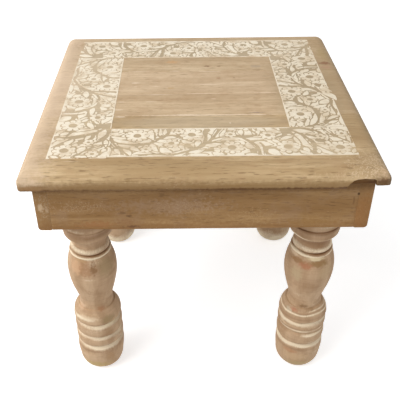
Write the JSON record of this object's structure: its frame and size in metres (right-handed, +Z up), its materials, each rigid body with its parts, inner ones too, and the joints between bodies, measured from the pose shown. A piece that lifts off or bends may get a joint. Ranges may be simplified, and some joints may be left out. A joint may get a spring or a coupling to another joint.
{
  "type": "low turned-leg table",
  "caption": "Low square wooden table with a moulded overhanging top, a plain apron, turned vase-shaped legs and a block-printed floral border.",
  "frame": {"origin": "on the floor under the middle of the table, in the plane of the feet", "axes": "+Z up, +X to the right and +Y to the back as seen from the side with the chipped lip"},
  "size_m": [0.305, 0.305, 0.271],
  "materials": {
    "top_wood": "bleached and sanded bare wood with thin whitewash in the grain and a printed cream floral border",
    "apron_wood": "warm brown wood, matt, with a thin greyish pink limewash haze",
    "turned_wood": "turned bare wood, matt, with cream whitewash left in the grooves",
    "cleat_wood": "plain sawn wood, unfinished",
    "screw_steel": "zinc-plated steel"
  },
  "bodies": {
    "root": {"top_board_front": "top_wood", "top_board_middle_front": "top_wood", "top_board_middle_back": "top_wood", "top_board_back": "top_wood", "apron_front": "apron_wood", "apron_back": "apron_wood", "apron_left": "apron_wood", "apron_right": "apron_wood", "leg_front_left": "turned_wood", "leg_front_right": "turned_wood", "leg_back_left": "turned_wood", "leg_back_right": "turned_wood", "cleat_front": "cleat_wood", "cleat_back": "cleat_wood", "cleat_left": "cleat_wood", "cleat_right": "cleat_wood", "cleat_screw_front_1": "screw_steel", "cleat_screw_front_2": "screw_steel", "cleat_screw_back_1": "screw_steel", "cleat_screw_back_2": "screw_steel", "cleat_screw_left_1": "screw_steel", "cleat_screw_left_2": "screw_steel", "cleat_screw_right_1": "screw_steel", "cleat_screw_right_2": "screw_steel"}
  },
  "joints": []
}
